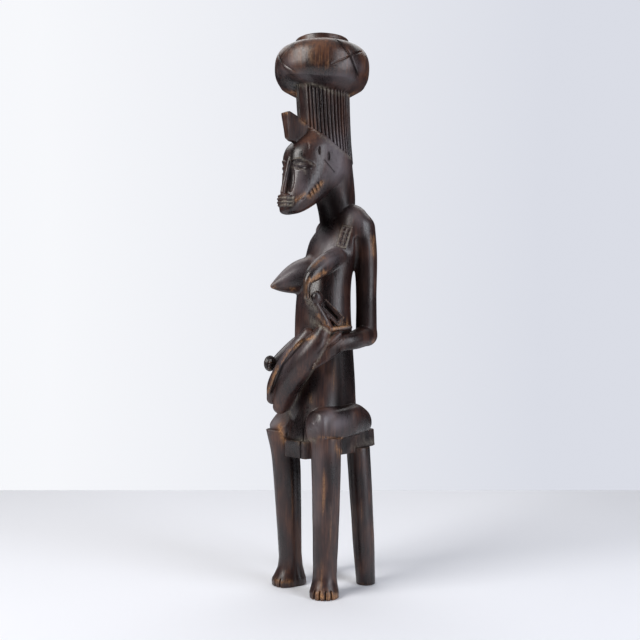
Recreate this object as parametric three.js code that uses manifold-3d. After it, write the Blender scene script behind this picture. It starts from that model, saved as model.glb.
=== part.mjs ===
import * as THREE from 'three';
import { LoftGeometry } from 'three/addons/geometries/LoftGeometry.js';
import { mergeVertices } from 'three/addons/utils/BufferGeometryUtils.js';
import Module from 'manifold-3d';

// Seated maternity figure, carved from one block of dark wood: a woman on a stool nurses a child
// and carries a pot on her tall fluted hairdress. Millimetres, +Z up, she faces -Y, her left is +X.
// The carving is one piece, so it is one solid.

// Heights above the floor
const TOTAL_HEIGHT = 775;
const POT_BASE_Z = 700;
const CHIN_Z = 522;
const SHOULDER_Z = 508;
const SEAT_Z = 197;

// Pot carried on the head
const POT_RADIUS = 67.5;
const POT_WALL = 11;
const POT_FLOOR = 19;
const UNDERSIDE_LIFT = 12;
const UNDERSIDE_LIFT_DEG = -100;
const UNDERSIDE_LIFT_SPREAD_DEG = 35;
const POT_COLLAR_RADIUS = 38;
const POT_MOUTH_RADIUS = 29;
const POT_SEGMENTS = 24;
const INCISION_WIDTH = 1.6;
const INCISION_DEPTH = 1.4;

// Fluted hairdress
const FLUTES_PER_SIDE = 21;
const FLUTE_DEPTH = 2.2;
const FRONT_STRIP_DEG = 11;
const RIDGE_HEIGHT = 1.6;
const RIDGE_WIDTH = 3;

// Stool
const SEAT_THICKNESS = 24;
const SEAT_TILT_DEG = 4.6;
const SEAT_HALF_WIDTH = 38;
const SEAT_FRONT_HALF_WIDTH = 21;
const SEAT_FRONT_Y = -52;
const SEAT_BACK_Y = 71.88;

// Front legs and feet
const LEG_SIDES = 14;
const KNEE_X = 39;
const FOOT_X = 36.5;
const FOOT_Y = -28.3;
const KNEE_FRONT_Y = -53;
const KNEE_LEDGE_Z = 217.5;
const THIGH_TOP_Z = 257;
const BUTTOCK_BACK_Y = 55;
const LEFT_FOOT_TURN_DEG = 40;
const RIGHT_FOOT_TURN_DEG = 13;
const RIGHT_REAR_SPLAY = { x: 3, y: -3.3 };
const TOES = 5;
const TOE_HEIGHT = 12;

// Arms
const LEFT_SHOULDER_X = 40;
const RIGHT_SHOULDER_X = -34;
const SHOULDER_Y = 42;
const ARM_X = 44;
const ARM_Y = 45;
const ARM_RADIUS = 15.5;
const ELBOW_Z = 356;

// Face
const BROW_Y = -62;
const EYE_Z = 588;
const NOSE_TIP_Z = 556;
const MOUTH_Z = 541;

const wasm = await Module();
wasm.setup();

const deg = THREE.MathUtils.degToRad;
const vec = (x, y, z) => new THREE.Vector3(x, y, z);

// Geometry to solid and back
function solid(geometry, matrix = null) {
  const g = geometry.index ? geometry.toNonIndexed() : geometry.clone();
  g.deleteAttribute('normal');
  g.deleteAttribute('uv');
  if (matrix) g.applyMatrix4(matrix);
  const merged = mergeVertices(g, 1e-4);
  return new wasm.Manifold(new wasm.Mesh({
    numProp: 3,
    vertProperties: new Float32Array(merged.attributes.position.array),
    triVerts: new Uint32Array(merged.index.array),
  }));
}

function place(x, y, z, rx = 0, ry = 0, rz = 0) {
  const turn = new THREE.Quaternion().setFromEuler(new THREE.Euler(deg(rx), deg(ry), deg(rz), 'ZYX'));
  return new THREE.Matrix4().compose(vec(x, y, z), turn, vec(1, 1, 1));
}

function box(w, d, h, matrix) {
  return solid(new THREE.BoxGeometry(w, d, h), matrix);
}

function ellipsoid(rx, ry, rz, matrix, segments = 12) {
  const ball = new THREE.SphereGeometry(1, segments, Math.round(segments / 2));
  ball.scale(rx, ry, rz);
  return solid(ball, matrix);
}

const join = (solids) => solids.reduce((a, b) => a.add(b));

// Level ring, squarer as its power rises above 2
function ring(z, cx, cy, rx, ry, power = 2, count = 18) {
  const points = [];
  for (let i = 0; i < count; i++) {
    const t = (i / count) * Math.PI * 2;
    const c = Math.cos(t);
    const s = Math.sin(t);
    const x = Math.sign(c) * Math.abs(c) ** (2 / power) * rx;
    const y = Math.sign(s) * Math.abs(s) ** (2 / power) * ry;
    points.push(vec(cx + x, cy + y, z));
  }
  return points;
}

function roundRing(z, cx, cy, radius, count) {
  return ring(z, cx, cy, radius, radius, 2, count);
}

function loft(sections) {
  return solid(new LoftGeometry(sections, { capStart: true, capEnd: true }));
}

// Rounded limb along a smooth line; each knot is [x, y, z, radius across, radius along the side vector].
// A cap is how far round its quarter turn a closing ring sits, 0 at the tip and 1 at the limb
function limb(knots, { sides = 12, steps = 4, side = vec(1, 0, 0), caps = [0.5] } = {}) {
  const line = new THREE.CatmullRomCurve3(knots.map((k) => vec(k[0], k[1], k[2])), false, 'centripetal');
  const spans = knots.length - 1;
  const radiusAt = (t, n) => {
    const at = Math.min(t * spans, spans - 1e-6);
    const i = Math.floor(at);
    const f = at - i;
    const a = knots[i][n] ?? knots[i][3];
    const b = knots[i + 1][n] ?? knots[i + 1][3];
    return a + (b - a) * (f * f * (3 - 2 * f));
  };
  const sectionAt = (t, shrink, push) => {
    const centre = line.getPoint(t);
    const along = line.getTangent(t);
    const u = side.clone().addScaledVector(along, -side.dot(along)).normalize();
    const v = along.clone().cross(u);
    const points = [];
    for (let i = 0; i < sides; i++) {
      const a = (i / sides) * Math.PI * 2;
      points.push(centre.clone()
        .addScaledVector(u, Math.cos(a) * radiusAt(t, 4) * shrink)
        .addScaledVector(v, Math.sin(a) * radiusAt(t, 3) * shrink)
        .addScaledVector(along, push));
    }
    return points;
  };
  const capAt = (t, cap, sign) => {
    const angle = (cap * Math.PI) / 2;
    return sectionAt(t, Math.sin(angle), sign * radiusAt(t, 3) * Math.cos(angle));
  };
  const sections = caps.map((cap) => capAt(0, cap, -1));
  for (let i = 0; i <= steps; i++) sections.push(sectionAt(i / steps, 1, 0));
  for (const cap of [...caps].reverse()) sections.push(capAt(1, cap, 1));
  return loft(sections);
}

// Outline in the YZ plane carried across X
function acrossX(outline, halfWidth) {
  const shape = new THREE.Shape(outline.map(([y, z]) => new THREE.Vector2(y, z)));
  const slab = new THREE.ExtrudeGeometry(shape, { depth: 2 * halfWidth, bevelEnabled: false });
  const turn = new THREE.Matrix4().makeBasis(vec(0, 1, 0), vec(0, 0, 1), vec(1, 0, 0));
  turn.setPosition(-halfWidth, 0, 0);
  return solid(slab, turn);
}

// Incised crosses, one on each quarter of the pot: azimuth, lean and length of each stroke
const CROSS_Z = POT_BASE_Z + 37;
const CROSSES = [[-7.4, 28, -57], [84, 28, -57], [174, 28, -57], [-101, 42, -38]];
const CROSS_STROKES = CROSSES.flatMap(([a, steep, flat]) => [[a, steep, 54], [a, flat, 50]]);

// Pot: thick wall, hollow and empty, open at its collar
function potProfile(inset) {
  const p = [
    [36, POT_BASE_Z - 3], [50, POT_BASE_Z + 2], [60, POT_BASE_Z + 9], [65.5, POT_BASE_Z + 20],
    [POT_RADIUS, POT_BASE_Z + 34], [66, POT_BASE_Z + 47], [60.5, POT_BASE_Z + 57], [50, POT_BASE_Z + 64],
    [POT_COLLAR_RADIUS + 1, POT_BASE_Z + 66.5], [POT_COLLAR_RADIUS, TOTAL_HEIGHT],
  ];
  return p.map(([r, z]) => [Math.max(r - inset, 0), z]);
}

function pot() {
  const outer = potProfile(0);
  const inner = [
    [POT_MOUTH_RADIUS, TOTAL_HEIGHT], [POT_MOUTH_RADIUS, TOTAL_HEIGHT - 13], [47, POT_BASE_Z + 54],
    [POT_RADIUS - POT_WALL, POT_BASE_Z + 36], [46, POT_BASE_Z + POT_FLOOR + 3],
  ];
  const turned = turnedPot([[0, POT_BASE_Z - 3], ...outer, ...inner, [0, POT_BASE_Z + POT_FLOOR]]);
  const core = turnedPot([[0, POT_BASE_Z - 10], ...potProfile(INCISION_DEPTH), [0, TOTAL_HEIGHT]]);
  const cuts = [];
  for (const [azimuth, lean, length] of CROSS_STROKES) {
    const stroke = box(40, INCISION_WIDTH, length, place(
      Math.cos(deg(azimuth)) * POT_RADIUS, Math.sin(deg(azimuth)) * POT_RADIUS, CROSS_Z, 0, 0, azimuth,
    ).multiply(place(0, 0, 0, lean)));
    cuts.push(stroke.subtract(core));
  }
  return turned.subtract(join(cuts));
}

// Turned solid from radii and heights, its underside drawn up at the front where the hair meets it
function turnedPot(profile) {
  const g = new THREE.LatheGeometry(profile.map(([r, z]) => new THREE.Vector2(r, z)), POT_SEGMENTS);
  g.rotateX(Math.PI / 2);
  const spots = g.attributes.position;
  for (let i = 0; i < spots.count; i++) {
    const x = spots.getX(i);
    const y = spots.getY(i);
    const off = THREE.MathUtils.radToDeg(Math.atan2(y, x)) - UNDERSIDE_LIFT_DEG;
    const share = Math.exp(-((off / UNDERSIDE_LIFT_SPREAD_DEG) ** 2)) * Math.min(1, Math.hypot(x, y) / 36);
    const fade = Math.max(0, (POT_BASE_Z + 30 - spots.getZ(i)) / 30);
    spots.setZ(i, spots.getZ(i) + UNDERSIDE_LIFT * share * fade);
  }
  return solid(g);
}

// Hair column: rings that lean back with the nape, from head to pot; rows are height, centre y, radius
const HAIR_ROWS = [[590, 14, 35], [645, 5.4, 37.2], [POT_BASE_Z + 14, 1.2, 38.3]];

function fluteAngles() {
  const angles = [];
  const step = (180 - FRONT_STRIP_DEG) / FLUTES_PER_SIDE;
  for (let i = 0; i < FLUTES_PER_SIDE * 2; i++) angles.push(-90 + FRONT_STRIP_DEG + (i + 0.5) * step);
  return angles;
}

function flutedRing(z, cy, r) {
  const half = (180 - FRONT_STRIP_DEG) / FLUTES_PER_SIDE / 2;
  const points = [];
  const at = (degrees, radius) => points.push(vec(
    Math.cos(deg(degrees)) * radius, cy + Math.sin(deg(degrees)) * radius, z,
  ));
  at(-90, r);
  at(-90 + FRONT_STRIP_DEG, r);
  for (const a of fluteAngles()) {
    at(a, r - FLUTE_DEPTH);
    at(a + half, r);
  }
  return points;
}

// Hairline seen from the side: steep above the temple, flatter towards the nape
const HAIRLINE = [
  [-60, 676], [-40, 655], [-30.5, 643.5], [-21.3, 634], [-10.9, 625], [5.3, 614], [28, 604.5], [62, 596],
];

function hair() {
  const above = acrossX([...HAIRLINE, [62, 720], [-60, 720]], 60);
  const fluted = loft(HAIR_ROWS.map(([z, cy, r]) => flutedRing(z, cy, r))).intersect(above);
  const over = HAIRLINE.map(([y, z]) => [y, z + RIDGE_WIDTH / 2]);
  const under = HAIRLINE.map(([y, z]) => [y, z - RIDGE_WIDTH / 2]).reverse();
  const proud = loft(HAIR_ROWS.map(([z, cy, r]) => roundRing(z, 0, cy, r + RIDGE_HEIGHT, 24)));
  const ridge = proud.intersect(acrossX([...over, ...under], 60));
  return fluted.add(ridge);
}

// Neck and nape: smooth, it carries on down from the hair into the shoulders
function neck() {
  const rows = [
    [496, 29, 26, 25], [516, 29.5, 25.5, 24.5], [535, 28.5, 26.5, 26.8], [560, 24, 29.5, 30.5],
    [606, 11.8, 33.5, 33.5], [650, 5, 34, 34],
  ];
  return loft(rows.map(([z, cy, rx, ry]) => ring(z, 0, cy, rx, ry, 2, 16)));
}

// Head: wedge with a flat jaw plane and a crisp jaw edge; rows are height, front, back, half width
const HEAD_ROWS = [
  [CHIN_Z, -68, -57, 6], [526, -73.5, -48, 12], [534, -74, -34, 17.5], [546, -70, -18, 23],
  [560, -66.5, -2, 28], [574, -64, 12, 32.3], [590, -62.5, 23, 35.6], [606, -62, 27, 36.2],
  [618, -56.5, 25, 35.5], [627, -47, 22, 33.5], [635, -37.5, 17, 31], [645, -28, 10, 28],
];

// Crest over the forehead, a wedge that grows out of the hair: y and height
const CREST = [
  [-71, 662], [-65, 664], [-52, 660], [-37, 652], [-24, 646],
  [-24, 628], [-46, 623], [-60, 624], [-66, 628],
];
const CREST_HALF_WIDTH = 6;

function headRing(z, front, back, half) {
  const points = [];
  const arc = 11;
  const waist = THREE.MathUtils.lerp(front, back, 0.45);
  for (let i = 0; i <= arc; i++) {
    const t = Math.PI + (i / arc) * Math.PI;
    const c = Math.cos(t);
    const s = Math.sin(t);
    points.push(vec(c * half * (1 - 0.06 * s * s), waist + Math.abs(s) ** 0.92 * (front - waist), z));
  }
  points.push(vec(half * 1.02, THREE.MathUtils.lerp(waist, back, 0.5), z));
  points.push(vec(half * 0.97, back, z));
  points.push(vec(0, back, z));
  points.push(vec(-half * 0.97, back, z));
  points.push(vec(-half * 1.02, THREE.MathUtils.lerp(waist, back, 0.5), z));
  return points;
}

function head() {
  const below = acrossX([...HAIRLINE, [62, 500], [-100, 500], [-100, 676]], 60);
  const skull = loft(HEAD_ROWS.map((row) => headRing(...row))).intersect(below);
  // Hollows beside the nose
  const hollowAt = (s) => place(s * 8.5, BROW_Y - 4.2, 567, 12, 0, s * 18);
  const hollows = [-1, 1].map((s) => ellipsoid(7, 5, 18, hollowAt(s), 10));
  const add = [acrossX(CREST, CREST_HALF_WIDTH)];
  const cut = [];
  // Long nose with nostrils
  add.push(loft([
    ring(NOSE_TIP_Z - 3, 0, -66, 5.6, 7.5, 2.4, 10), ring(NOSE_TIP_Z, 0, -66.5, 5.8, 8.8, 2.4, 10),
    ring(NOSE_TIP_Z + 6, 0, -65.5, 4, 7.8, 2.4, 10), ring(EYE_Z - 6, 0, -62, 3, 6.2, 2.4, 10),
    ring(EYE_Z + 12, 0, -58, 3.4, 6, 2.4, 10),
  ]));
  // Mouth block with grooved lips and teeth
  add.push(loft([
    ring(MOUTH_Z - 8, 0, -68, 9, 7, 3, 12), ring(MOUTH_Z - 6, 0, -68.5, 10.8, 8.8, 3, 12),
    ring(MOUTH_Z + 6, 0, -68, 10.8, 9, 3, 12), ring(MOUTH_Z + 8, 0, -67, 9, 7.5, 3, 12),
  ]));
  for (let i = -1; i <= 1; i++) cut.push(box(24, 4, 1.3, place(0, -79, MOUTH_Z + i * 3.8)));
  for (const s of [-1, 1]) {
    // Almond eyes under heavy lids, with a slit
    const eye = place(s * 17, -54.2, EYE_Z, 0, 0, s * 30);
    add.push(ellipsoid(15, 4.2, 6.6, eye, 10));
    cut.push(box(26, 3, 1.5, place(s * 18.2, -58.6, EYE_Z - 1, 0, 0, s * 30)));
    // Temple slits and cheek notches
    cut.push(box(5, 1.6, 13, place(s * 33.5, -32, 613, 6)));
    cut.push(box(5, 1.9, 15, place(s * 36.5, -19, 604, 6)));
    cut.push(box(5, 1.2, 20, place(s * 36.5, -18, 590, 32)));
    for (let i = 0; i < 4; i++) {
      cut.push(box(9, 1.8, 9, place(s * (25 + i * 3), -42 + i * 6.5, 552 + i * 4.6, 30, 0, s * 35)));
    }
  }
  return skull.subtract(join(hollows)).add(join(add)).subtract(join(cut));
}

// Trunk from the seat to the collar bones
function trunk() {
  const rows = [
    [SEAT_Z - 5, 2, 39, 49.5, 3.2], [222, 2, 39.5, 49, 3], [250, 3, 41, 46, 2.5],
    [290, 4.5, 42.5, 42.5, 2.2],
    [340, 3, 43, 40.5], [385, 2, 42, 38], [415, 3.5, 41, 36.5], [440, 8, 40.5, 34], [466, 15, 41, 31],
    [492, 22, 40, 28], [512, 28, 27, 24], [524, 29.5, 24, 22],
  ];
  return loft(rows.map(([z, cy, rx, ry, power]) => ring(z, 0, cy, rx, ry, power)));
}

// High round shoulders and straight upper arms, forearms bent forward to the child
function arms() {
  const made = [
    ellipsoid(34, 26, 40, place(22, 36, SHOULDER_Z - 5), 14),
    ellipsoid(27, 20, 38, place(-17, 42, SHOULDER_Z - 6)),
  ];
  for (const s of [-1, 1]) {
    const shoulderX = s > 0 ? LEFT_SHOULDER_X : RIGHT_SHOULDER_X;
    made.push(limb([
      [shoulderX, SHOULDER_Y, SHOULDER_Z, 17], [s * (ARM_X - 1), ARM_Y, 470, 16.5],
      [s * ARM_X, ARM_Y, 415, ARM_RADIUS - 0.5, ARM_RADIUS - 1],
      [s * ARM_X, ARM_Y, ELBOW_Z, ARM_RADIUS, ARM_RADIUS - 0.5],
    ], { steps: 3 }));
  }
  const forearms = [
    [
      [ARM_X + 1, ARM_Y - 1, ELBOW_Z, 15], [54, 12, 350, 13.5, 13],
      [51, -14, 345, 11.5, 11], [44, -31, 335, 10, 8],
    ],
    [
      [-ARM_X - 1, ARM_Y - 1, ELBOW_Z, 15], [-53, 10, 345, 13.5, 13],
      [-51, -20, 330, 11.5, 11], [-46, -44, 317, 10, 9],
    ],
  ];
  made.push(...forearms.map((knots) => limb(knots, { sides: 10 })));
  return join(made);
}

// Hands: four fingers side by side and a thumb
function hands() {
  const plain = { steps: 2, sides: 6, caps: [] };
  const made = [limb([[47, -28, 346, 5.2], [43, -44, 346, 4.8], [38, -54, 341, 4]], plain)];
  for (let i = 0; i < 4; i++) {
    made.push(limb([
      [46 - i * 1.2, -30 - i * 1.5, 342 - i * 5.2, 4.2], [43 - i * 1.2, -45 - i * 1.5, 334 - i * 5.2, 4],
      [35 - i * 1.2, -55 - i * 1.2, 323 - i * 4.6, 3.4],
    ], plain));
    made.push(limb([
      [-48, -42 - i * 1.5, 324 - i * 5.4, 4.3], [-45, -57 - i, 321 - i * 5.4, 4.1],
      [-36, -66 - i * 0.5, 317 - i * 5, 3.5],
    ], plain));
  }
  return join(made);
}

// Breasts: the right one a bare pointed cone, the left one drawn down into the child's mouth
function breasts() {
  const right = limb([
    [-15, -4, 442, 29, 27], [-20, -24, 438, 25, 22.5], [-26.5, -47, 430.5, 14, 13], [-31, -64, 425, 4.2],
  ], { steps: 5, caps: [0.3, 0.7] });
  const left = limb([
    [34, 9, 468, 14], [29, -20, 456, 13.5], [31.5, -43, 442, 11.5], [32.5, -55, 432, 6.8],
    [32.5, -58, 411, 5],
  ], { steps: 6, caps: [0.3, 0.7] });
  return right.add(left);
}

// Thighs, lower legs that stand as the stool's front supports, and the plain rear legs
function legs() {
  const made = [];
  // Rows from knee to buttock: y, half width, low and high edge, squareness
  const thigh = [
    [KNEE_FRONT_Y, 13, 226, 243, 2.2], [KNEE_FRONT_Y + 5, 18.5, 209, 253, 2.6],
    [KNEE_FRONT_Y + 20, 20, 205, THIGH_TOP_Z, 2.9], [-5, 20, 212, THIGH_TOP_Z + 1, 2.8],
    [25, 20.5, 215, THIGH_TOP_Z + 3, 2.6], [42, 18.5, 217, THIGH_TOP_Z - 4, 2.4],
    [51, 14, 219, THIGH_TOP_Z - 12, 2.3], [BUTTOCK_BACK_Y, 7, 226, THIGH_TOP_Z - 21, 2.2],
  ];
  const upright = (s, [y, half, low, high, power]) => {
    const x = s * KNEE_X * (y > 20 ? 0.9 : 1);
    const level = ring(0, x, (low + high) / 2, half, (high - low) / 2, power, 14);
    return level.map((p) => vec(p.x, y, p.y));
  };
  for (const s of [-1, 1]) {
    made.push(loft(thigh.map((row) => upright(s, row)).reverse()));
    made.push(lowerLeg(s, s > 0 ? LEFT_FOOT_TURN_DEG : RIGHT_FOOT_TURN_DEG));
    const splay = s > 0 ? { x: 0, y: 0 } : RIGHT_REAR_SPLAY;
    const rear = [
      [0, FOOT_X + splay.x, 51.6 + splay.y, 13.4], [60, 35 + splay.x, 48.9 + splay.y, 15.6],
      [SEAT_Z - 1, 29.5, 43.4, 16.8],
    ];
    made.push(loft(rear.map(([z, x, y, r]) => roundRing(z, s * x, y, r, LEG_SIDES))));
  }
  // Flat facet on the front of the right knee
  const facet = box(44, 60, 30, place(-KNEE_X - 4, KNEE_FRONT_Y + 4.8, THIGH_TOP_Z - 6, 43));
  return join(made).subtract(facet);
}

function lowerLeg(s, turnDeg) {
  const shin = [[60, 37.5, -28.5, 17], [120, 40, -29.5, 18.6]];
  const knee = s > 0
    ? [[205, 42, -31.5, 20.5], [KNEE_LEDGE_Z, 41.8, -31.5, 21]]
    : [[186, 42, -32.5, 20], [KNEE_LEDGE_Z + 3.5, 45, -38, 21.6]];
  const rows = [...shin, ...knee];
  const sections = rows.map(([z, x, y, r]) => roundRing(z, s * x, y, r, LEG_SIDES));
  const aim = Math.PI * 1.5 + s * deg(turnDeg);
  const foot = (z, heel, toe, width) => {
    const points = [];
    for (let i = 0; i < LEG_SIDES; i++) {
      const a = (i / LEG_SIDES) * Math.PI * 2;
      const ahead = Math.max(Math.cos(a - aim), 0);
      const r = heel + (toe - heel) * ahead ** 1.2 + (width - heel) * Math.sin(a - aim) ** 2;
      points.push(vec(s * FOOT_X + Math.cos(a) * r, FOOT_Y + Math.sin(a) * r, z));
    }
    return points;
  };
  const heel = s > 0 ? [15.5, 15.8, 16, 16.3] : [23, 22.5, 20.5, 18];
  const lower = [
    foot(0, heel[0], 27, 19), foot(8, heel[1], 27.3, 19), foot(14, heel[2], 24, 18),
    foot(25, heel[3], 18.5, 16.6),
  ];
  const leg = loft([...lower, ...sections]);
  const gaps = [];
  for (let i = 1; i < TOES; i++) {
    const spread = (i / TOES - 0.5) * 92;
    const a = aim + deg(spread);
    const x = s * FOOT_X + Math.cos(a) * 28;
    const y = FOOT_Y + Math.sin(a) * 28;
    gaps.push(box(13, 2.2, 2 * TOE_HEIGHT, place(x, y, 0, 0, 0, THREE.MathUtils.radToDeg(a))));
  }
  return leg.subtract(join(gaps));
}

// Seat board of the stool, a little higher at the back
function seat() {
  const r = 7;
  const w = SEAT_HALF_WIDTH;
  const plan = new THREE.Shape();
  plan.moveTo(-SEAT_FRONT_HALF_WIDTH, SEAT_FRONT_Y);
  plan.lineTo(SEAT_FRONT_HALF_WIDTH, SEAT_FRONT_Y);
  plan.lineTo(w - 4, SEAT_FRONT_Y + 26);
  plan.lineTo(w, SEAT_BACK_Y - r);
  plan.quadraticCurveTo(w, SEAT_BACK_Y, w - r, SEAT_BACK_Y);
  plan.lineTo(r - w, SEAT_BACK_Y);
  plan.quadraticCurveTo(-w, SEAT_BACK_Y, -w, SEAT_BACK_Y - r);
  plan.lineTo(4 - w, SEAT_FRONT_Y + 26);
  const edge = { depth: SEAT_THICKNESS, bevelEnabled: false, curveSegments: 3 };
  const board = new THREE.ExtrudeGeometry(plan, edge);
  board.translate(0, 0, -SEAT_THICKNESS / 2);
  return solid(board, place(0, 0, SEAT_Z + 5.5, SEAT_TILT_DEG));
}

// Child across the lap: head at the breast, folded arm, two long legs down to the right knee
const CHILD_NEAR_LEG = [
  [44, -38, 362, 10], [37, -44, 344, 16], [24, -51.5, 324, 18, 17.5], [3, -57, 297, 17.2, 17],
  [-12, -59.5, 276, 14.2], [-21, -59.5, 257, 10.5],
];
const CHILD_FAR_LEG = [
  [22, -46, 358, 9], [10, -54, 338, 12.5, 12], [-12, -60.5, 309, 12.8, 12.5],
  [-29, -62.5, 287, 10.8], [-37, -61, 267, 8],
];

function child() {
  const hip = new THREE.Matrix4().lookAt(vec(0, 0, 0), vec(8, 35, 3), vec(0, 0, 1));
  hip.setPosition(49, -15, 366);
  const made = [
    ellipsoid(8.5, 11, 10.5, place(37.5, -45, 407, 24), 10),
    ellipsoid(5, 6, 5, place(33, -54, 402), 8),
    limb([[37, -46, 398, 6.5], [41, -39, 385, 6.5], [44, -32, 372, 6.8], [45, -28, 364, 6.5]], { sides: 8 }),
    box(14, 6.8, 40, hip),
    limb(CHILD_NEAR_LEG, { steps: 3 }),
    limb(CHILD_FAR_LEG, { steps: 3, sides: 10 }),
  ];
  // Folded arm: a flat raised panel with a long groove down its middle
  const along = new THREE.Matrix4().lookAt(vec(0, 0, 0), vec(16, 20, -25), vec(0.74, -0.67, 0.1));
  along.setPosition(43.5, -23.5, 388);
  made.push(box(13.5, 14, 35, along));
  const slot = box(4, 8, 27, along.clone().multiply(place(0, 7, 0)));
  return join(made).subtract(slot);
}

const woman = join([hair(), neck(), head(), trunk(), arms(), breasts(), legs(), hands()]);
const carving = join([pot(), woman, seat(), child()]);

// Finished solid, with the frame's origin on the floor under the middle of its footprint box
const mesh = carving.getMesh();
const geometry = new THREE.BufferGeometry();
geometry.setAttribute('position', new THREE.BufferAttribute(new Float32Array(mesh.vertProperties), 3));
geometry.setIndex(new THREE.BufferAttribute(new Uint32Array(mesh.triVerts), 1));
geometry.computeBoundingBox();
const middle = geometry.boundingBox.getCenter(new THREE.Vector3());
geometry.computeVertexNormals();

const darkWood = new THREE.MeshStandardMaterial({ color: 0x3a2a24, roughness: 0.45, metalness: 0 });
const figure = new THREE.Mesh(geometry, darkWood);
figure.name = 'maternity_figure';
figure.position.set(-middle.x, -middle.y, 0);

const group = new THREE.Group();
group.name = 'senufo_maternity_figure';
group.add(figure);

export default group;
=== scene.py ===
import math

import bpy
import numpy as np
import openvdb
from mathutils import Matrix, Vector


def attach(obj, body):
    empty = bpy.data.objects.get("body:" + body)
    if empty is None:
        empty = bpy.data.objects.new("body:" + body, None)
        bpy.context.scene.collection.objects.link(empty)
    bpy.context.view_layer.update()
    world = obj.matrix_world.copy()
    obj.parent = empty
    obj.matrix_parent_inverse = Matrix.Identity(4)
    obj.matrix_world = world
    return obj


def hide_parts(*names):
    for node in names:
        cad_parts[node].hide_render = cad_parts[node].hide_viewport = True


# Seated maternity figure carved from one block of dark wood. The form is worked out as a distance field in
# millimetres from the same named sizes as the solid, with the carved relief added, and surfaced once.

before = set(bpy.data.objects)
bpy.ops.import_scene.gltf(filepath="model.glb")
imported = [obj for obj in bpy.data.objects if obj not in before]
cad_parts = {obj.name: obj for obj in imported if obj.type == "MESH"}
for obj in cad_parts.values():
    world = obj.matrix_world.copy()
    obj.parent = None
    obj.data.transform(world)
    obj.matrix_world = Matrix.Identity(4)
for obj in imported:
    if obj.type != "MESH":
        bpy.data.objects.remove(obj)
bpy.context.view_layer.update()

NODE = "maternity_figure"
MM = 0.001
VOXEL = 0.8
TRIANGLES = 190000

# Sizes below are in millimetres about the pot's axis, which lies this far from the frame's origin along y
FRAME_Y = 2.345

# Corners of the grid that the field fills, and the field's value in empty space
LOW = np.array([-73.0, -83.0, -5.0])
HIGH = np.array([73.0, 79.0, 781.0])
FAR = 9.0

# Heights above the floor
TOTAL_HEIGHT = 775.0
POT_BASE_Z = 700.0
SHOULDER_Z = 508.0
SEAT_MIDDLE_Z = 202.5
STOOL_LEG_TOP_Z = 196.0
THIGH_TOP_Z = 257.0
KNEE_LEDGE_Z = 217.5
ELBOW_Z = 356.0
EYE_Z = 588.0
MOUTH_Z = 541.0
MOUTH_GROOVE_STEP = 4.9
CHIN_Z = 522.0

# Pot, whose underside is drawn up towards one side
POT_RADIUS = 67.5
COLLAR_RADIUS = 38.0
MOUTH_RADIUS = 29.0
POT_HEIGHT = TOTAL_HEIGHT - POT_BASE_Z
POT_FLOOR = 19.0
UNDERSIDE_LIFT = 12.0
UNDERSIDE_LIFT_DEG = -100.0
UNDERSIDE_LIFT_SPREAD = 35.0

# Crosses cut into the pot: direction round the axis, lean of the long line and of the short one, in degrees
CROSSES = ((-7.4, 28, -57), (84, 28, -57), (174, 28, -57), (-101, 42, -38))
CROSS_Z = POT_BASE_Z + 37
LONG_LINE = 54.0
SHORT_LINE = 50.0
INCISION = 1.35

# Fluted hair, plain in a narrow strip at its front
FLUTES_PER_SIDE = 21
FLUTE_DEPTH = 2.2
FLUTE_HALF_SHARE = 0.26
FRONT_STRIP_DEG = 11.0

# Hairline: y, height. Hair column: height, centre y, radius
HAIRLINE = [
    (-60, 676), (-40, 655), (-30.5, 643.5), (-21.3, 634), (-10.9, 625), (5.3, 614), (28, 604.5), (62, 596),
]
HAIR = [(560, 23, 31), (590, 14, 35), (612, 10.8, 35.6), (645, 5.4, 37.2), (700, 1.4, 38.3), (720, 1, 38.3)]

# Seat board
SEAT_THICKNESS = 24.0
SEAT_BACK_Y = 71.8
SEAT_TILT_DEG = 4.6

# Limbs
KNEE_X = 39.0
ANKLE_X = 36.5
ANKLE_Y = -28.3
ANKLE_RADIUS = 16.2
SHOULDER_Y = 42.0
ARM_X = 44.0
ARM_Y = 45.0
LEFT_FOOT_TURN = 40.0
RIGHT_FOOT_TURN = 13.0

# Where the figure is seen from: degrees round from its front, distance and height in millimetres
AZIMUTH = 47.6
DISTANCE = 1212.0
EYE_HEIGHT = 377.5

# Clear of the figure: how far before the plane lines of sight are begun, and how far out lines to the pot are
SIGHT_START = 110.0
OUTSIDE = 90.0

# Directions across and towards the eye
ACROSS = np.array((math.cos(math.radians(AZIMUTH)), math.sin(math.radians(AZIMUTH)), 0))
NEARER = np.array((math.sin(math.radians(AZIMUTH)), -math.cos(math.radians(AZIMUTH)), 0))

NX, NY, NZ = (np.ceil((HIGH - LOW) / VOXEL)).astype(int)
AXES = [LOW[i] + VOXEL * np.arange(n, dtype=np.float32) for i, n in enumerate((NX, NY, NZ))]
field = np.full((NX, NY, NZ), FAR, np.float32)


def window(low, high, pad):
    """The slice of the grid around a box, and its open coordinates."""
    spans = []
    for i, n in enumerate((NX, NY, NZ)):
        first = int(max((low[i] - pad - LOW[i]) / VOXEL, 0))
        last = int(min((high[i] + pad - LOW[i]) / VOXEL + 2, n))
        spans.append(slice(first, max(last, first + 1)))
    x = AXES[0][spans[0]][:, None, None]
    y = AXES[1][spans[1]][None, :, None]
    z = AXES[2][spans[2]][None, None, :]
    return tuple(spans), x, y, z


def soft_min(a, b, k):
    """The smaller of two values, with the change from one to the other rounded over k millimetres."""
    if k <= 0:
        return np.minimum(a, b)
    h = np.clip(0.5 + 0.5 * (b - a) / k, 0, 1)
    return b + (a - b) * h - k * h * (1 - h)


def soft_max(a, b, k):
    """The larger of two values, rounded in the same way."""
    return -soft_min(-a, -b, k)


def add(low, high, shape, k=1.0):
    """Joins a shape that lies in a box to the field."""
    spans, x, y, z = window(low, high, k + 3)
    field[spans] = soft_min(field[spans], shape(x, y, z), k)


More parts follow.
